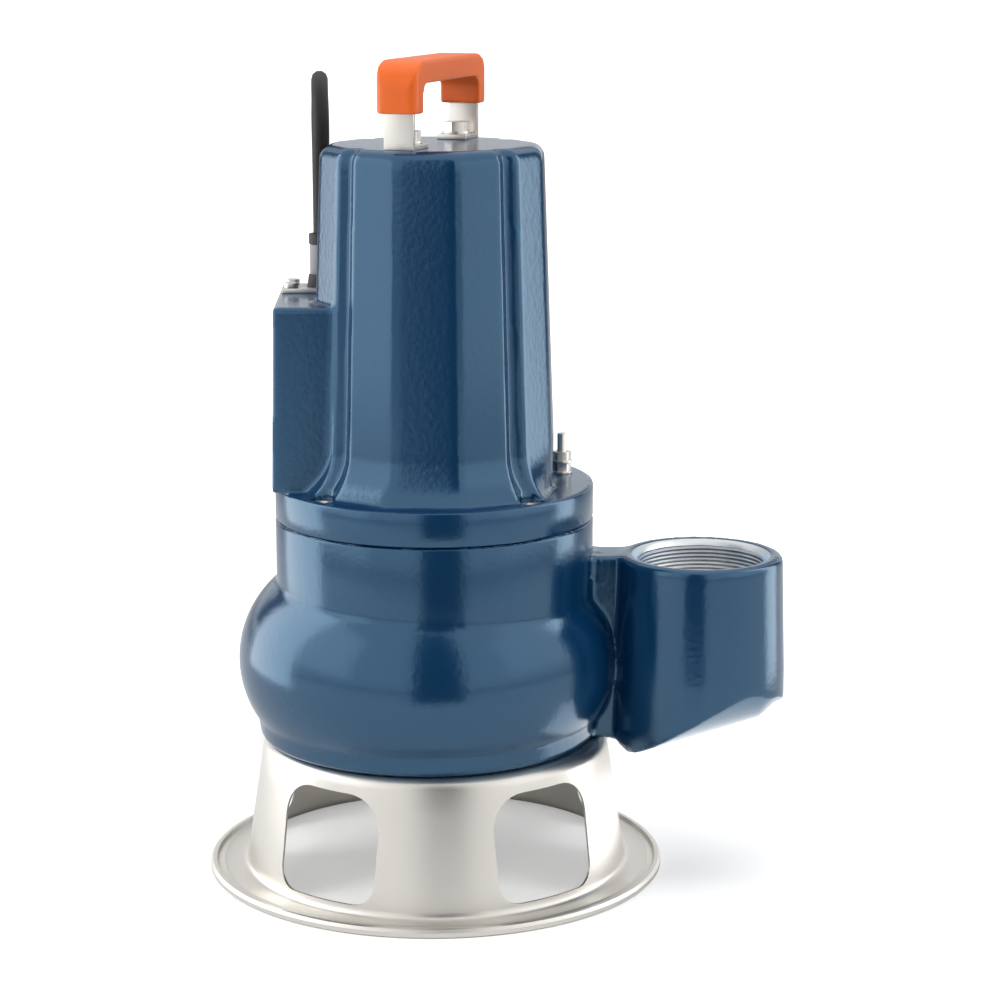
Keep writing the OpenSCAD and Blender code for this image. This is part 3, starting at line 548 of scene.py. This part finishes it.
tiePieces = [newPiece(f"coil_tie_{n}", meshFrom(tieShape(angle), "coilTie", ties["sharp"]), "grey_plastic")
             for n, angle in enumerate(ties["angles"], 1)]

# plug at the end of the cable: piece and rounding in metres for each node
plug = {"plug_boot": ("plug_sleeve", 0.0006), "plug_body": ("plug_shell", 0.0015),
        "plug_pins": ("plug_contacts", 0.0006)}
plugPieces = [smoothCopy(nodeName, pieceName, bevel=bevel) for nodeName, (pieceName, bevel) in plug.items()]
print("cable and plug made")


# castings, in mm: held places stay as machined, inside walls are thinned to the ratio
bodyCast = {
    "voxel": 1.7, "ratio": 0.72, "sharp": 38, "passes": 2, "elbowPasses": 2, "elbowFrom": 96,
    "outletHeld": 45, "outletHeights": (160, 191),
    "seatHeld": 96, "seatTop": 82, "topFrom": 205, "boreHeld": 77,
    "ring": (-4, 3, 126), "ringRadius": 51.4, "chamber": 60, "chamberTo": 90, "chamberHeights": (88, 176),
    "bore": 80, "boreFrom": 86, "riser": 34, "riserHeights": (95, 160),
    "duct": (10, 122), "ductRadius": 28.5, "ductFrom": 50,
}
casingCast = {
    "voxel": 1.55, "ratio": 0.82, "sharp": 38, "passes": 2, "flangeTop": 233, "boreHeld": 58,
    "bore": 57, "boreTop": 421, "register": 80, "registerTop": 230,
}


def outletDistance(co):
    return math.hypot(co.x - outletAxis[0], co.y - outletAxis[1])


def bodyHeld(co):
    axis = math.hypot(co.x, co.y)
    low, high = bodyCast["outletHeights"]
    face = outletDistance(co) < bodyCast["outletHeld"] and low < co.z < high
    seat = co.z < bodyCast["seatTop"] and axis < bodyCast["seatHeld"]
    return face or seat or co.z > bodyCast["topFrom"] or axis < bodyCast["boreHeld"]


def casingHeld(co):
    return co.z < casingCast["flangeTop"] or math.hypot(co.x, co.y) < casingCast["boreHeld"]


# elbow's underside, in mm; near and far are (from, over, rise)
keel = {"from": 100, "blend": 6, "apex": (234.7, 102.0), "slope": 0.26, "deep": 30, "all": 2.6,
        "near": (118, 17, 5.0), "far": (187, 13, 6.5)}


# how far the elbow's underside rises, most at its two ends, which are cast round
def keelLift(co):
    bottom = keel["apex"][1] - (keel["apex"][0] - co.x) * keel["slope"]
    share = ease(1 - (co.z - bottom) / keel["deep"]) * ease((co.x - keel["from"]) / keel["blend"])
    near = keel["near"][2] * ease((keel["near"][0] - co.x) / keel["near"][1])
    far = keel["far"][2] * ease((co.x - keel["far"][0]) / keel["far"][1])
    return share * (keel["all"] + near + far)


# walls of the volute's chamber, which face the middle of its ring, and of the passages
def bodyInside(co, normal):
    x, y, z = bodyCast["ring"]
    around = math.hypot(co.x - x, co.y - y)
    reach = bodyCast["ringRadius"]
    away = co - Vector((reach * (co.x - x) / around + x, reach * (co.y - y) / around + y, z))
    low, high = bodyCast["chamberHeights"]
    chamber = away.length < bodyCast["chamber"] and normal.dot(away) < 0 and low < co.z < high
    bore = math.hypot(co.x, co.y) < bodyCast["bore"] and co.z > bodyCast["boreFrom"]
    low, high = bodyCast["riserHeights"]
    riser = outletDistance(co) < bodyCast["riser"] and low < co.z < high
    duct = math.hypot(co.y - bodyCast["duct"][0], co.z - bodyCast["duct"][1]) < bodyCast["ductRadius"]
    return (chamber and co.x < bodyCast["chamberTo"] or bore or riser
            or duct and co.x > bodyCast["ductFrom"])


def casingInside(co, normal):
    axis = math.hypot(co.x, co.y)
    return (axis < casingCast["bore"] and co.z < casingCast["boreTop"]
            or axis < casingCast["register"] and co.z < casingCast["registerTop"])


# crisp rings at the parting line; the casting under them is drawn in to the inner radius
bodyBand = {
    "profile": [(88, 173.6), (92.56, 173.6), (92.5, 209.2), (92.2, 210.0), (91.4, 210.7), (88, 210.9)],
    "inner": 91.7, "reach": 4, "heights": (177, 212),
}
casingBand = {
    "profile": [(88, 211.1), (91.4, 211.3), (92.2, 212.0), (92.5, 212.8), (92.5, 229.6), (92.2, 230.4),
                (91.5, 230.9), (88, 231)],
    "inner": 91.7, "reach": 4, "heights": (210, 230.6),
}
bodyStages = [(bodyCast["passes"], bodyHeld),
              (bodyCast["elbowPasses"], lambda co: bodyHeld(co) or co.x < bodyCast["elbowFrom"])]
castCopy("pump_body", "body_casting", bodyCast, bodyStages, bodyBand, bodyInside, keelLift)
castCopy("motor_casing", "casing_casting", casingCast, [(casingCast["passes"], casingHeld)], casingBand,
         casingInside)
print("castings made")

# foot, handle and small parts
trimBevel = 0.0004
grip = {"voxel": 0.9, "passes": 4, "sharp": 60}
smoothCopy("foot", "foot_skirt")
smoothCopy("handle_strap", "strap", bevel=trimBevel)
gripShape = castShape("handle_grip", grip["voxel"], [(grip["passes"], lambda co: False)])
gripPiece = newPiece("grip", meshFrom(gripShape, "grip", grip["sharp"]), "orange_plastic")
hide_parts("handle_grip")
for nodeName in ("handle_screws", "casing_screws", "earth_nuts", "clamp_screws", "clamp_plate", "foot_screws",
                 "impeller_nut", "gland_rubber", "gland_sleeve", "gland_collar", "earth_stud"):
    body = "rotor" if nodeName == "impeller_nut" else "pump"
    smoothCopy(nodeName, nodeName + "_trim", body, trimBevel)
print("small parts made")

# floor, in metres; its glow for the camera grows to white from near to far
floorSettings = {"size": 30, "color": (0.90, 0.90, 0.90), "roughness": 0.6, "glow": 0.36, "near": 0.35,
                 "far": 1.1}
floorMesh = bpy.data.meshes.new("floor")
floorShape = bmesh.new()
bmesh.ops.create_grid(floorShape, x_segments=1, y_segments=1, size=floorSettings["size"])
floorShape.to_mesh(floorMesh)
floorShape.free()
floor = bpy.data.objects.new("floor", floorMesh)
scene.collection.objects.link(floor)
floorMaterial, nodes, links, shader = newMaterial("paleFloor")
shader.inputs["Base Color"].default_value = (*floorSettings["color"], 1)
shader.inputs["Roughness"].default_value = floorSettings["roughness"]
shader.inputs["Specular IOR Level"].default_value = 0  # no shine, so that the floor shows none of the cards
shader.inputs["Emission Color"].default_value = (1, 1, 1, 1)
lightPath = nodes.new("ShaderNodeLightPath")
length = nodes.new("ShaderNodeVectorMath")
length.operation = "LENGTH"
links.new(objectPattern(nodes, links), length.inputs[0])
away = nodes.new("ShaderNodeMapRange")
away.interpolation_type = "SMOOTHSTEP"
away.inputs["From Min"].default_value = floorSettings["near"]
away.inputs["From Max"].default_value = floorSettings["far"]
away.inputs["To Min"].default_value = floorSettings["glow"]
away.inputs["To Max"].default_value = 1.0
links.new(length.outputs["Value"], away.inputs["Value"])
links.new(mathNode(nodes, links, "MULTIPLY", lightPath.outputs["Is Camera Ray"], away.outputs["Result"]),
          shader.inputs["Emission Strength"])
floorMesh.materials.append(floorMaterial)

# world, white to the camera and in gloss and dimmer as light; lamps are (name, place, width, height, watts)
lightSettings = {
    "ambient": 0.36, "background": 1.0, "aim": (0.02, 0, 0.22),
    "lamps": [("keyLeft", (-2.2, -0.9, 1.5), 1.3, 1.6, 30), ("keyRight", (2.1, -1.1, 1.5), 1.2, 1.6, 18),
              ("overhead", (0.1, 0.3, 2.4), 2.2, 2.2, 30)],
}
world = bpy.data.worlds.new("studio")
scene.world = world
world.use_nodes = True
nodes, links = world.node_tree.nodes, world.node_tree.links
background = nodes["Background"]
lightPath = nodes.new("ShaderNodeLightPath")
seen = mathNode(nodes, links, "MAXIMUM", lightPath.outputs["Is Camera Ray"],
                lightPath.outputs["Is Glossy Ray"])
seen = mathNode(nodes, links, "MAXIMUM", seen, lightPath.outputs["Is Transmission Ray"])
level = nodes.new("ShaderNodeMapRange")
level.inputs["To Min"].default_value = lightSettings["ambient"]
level.inputs["To Max"].default_value = lightSettings["background"]
links.new(seen, level.inputs["Value"])
links.new(level.outputs["Result"], background.inputs["Strength"])
background.inputs["Color"].default_value = (1, 1, 1, 1)

for name, place, width, height, power in lightSettings["lamps"]:
    lamp = bpy.data.lights.new(name, "AREA")
    lamp.shape = "RECTANGLE"
    lamp.size, lamp.size_y, lamp.energy = width, height, power
    lampObject = bpy.data.objects.new(name, lamp)
    lampObject.location = place
    aim = Vector(lightSettings["aim"]) - Vector(place)
    lampObject.rotation_euler = aim.to_track_quat("-Z", "Y").to_euler()
    lampObject.visible_glossy = False
    scene.collection.objects.link(lampObject)

# cards that only reflections see: (middle, width, height, turn, lean, brightness), in metres and degrees
cards = {"front": ((0.045, -0.49, 0.50), 0.24, 0.94, 0, 90, 0.0),
         "left": ((-0.62, 0.195, 0.47), 0.55, 0.95, 90, 90, 2.75),
         "right": ((0.62, 0.124, 0.47), 0.228, 0.95, 90, 90, 2.9),
         "leftNear": ((-0.62, -0.34, 0.57), 0.52, 0.70, 90, 90, 1.45),
         "rightNear": ((0.62, -0.295, 0.57), 0.61, 0.70, 90, 90, 1.2),
         "leftFlag": ((-0.62, 0.61, 0.57), 0.28, 0.70, 90, 90, 0.0),
         "rightFlag": ((0.62, 0.37, 0.57), 0.26, 0.70, 90, 90, 0.0),
         "behind": ((0, 1.20, 0.82), 1.60, 0.52, 0, 90, 0.42),
         "underOutlet": ((0.225, 0.05, 0.003), 0.15, 0.24, 0, 0, 1.7)}
for name, (place, width, height, turn, lean, bright) in cards.items():
    cardMaterial, nodes, links, shader = newMaterial(name + "Card")
    shader.inputs["Base Color"].default_value = (0.01, 0.01, 0.01, 1)
    shader.inputs["Emission Color"].default_value = (1, 1, 1, 1)
    shader.inputs["Emission Strength"].default_value = bright
    turned = Matrix.Rotation(math.radians(turn), 4, "Z") @ Matrix.Rotation(math.radians(lean), 4, "X")
    placed = Matrix.Translation(place) @ turned @ Matrix.Diagonal((width, height, 1, 1))
    cardShape = bmesh.new()
    bmesh.ops.create_grid(cardShape, x_segments=1, y_segments=1, size=0.5, matrix=placed)
    cardMesh = bpy.data.meshes.new(name)
    cardShape.to_mesh(cardMesh)
    cardShape.free()
    cardMesh.materials.append(cardMaterial)
    card = bpy.data.objects.new(name, cardMesh)
    scene.collection.objects.link(card)
    card.visible_camera = card.visible_diffuse = card.visible_shadow = card.visible_transmission = False
print("floor and light set")

bpy.context.view_layer.update()
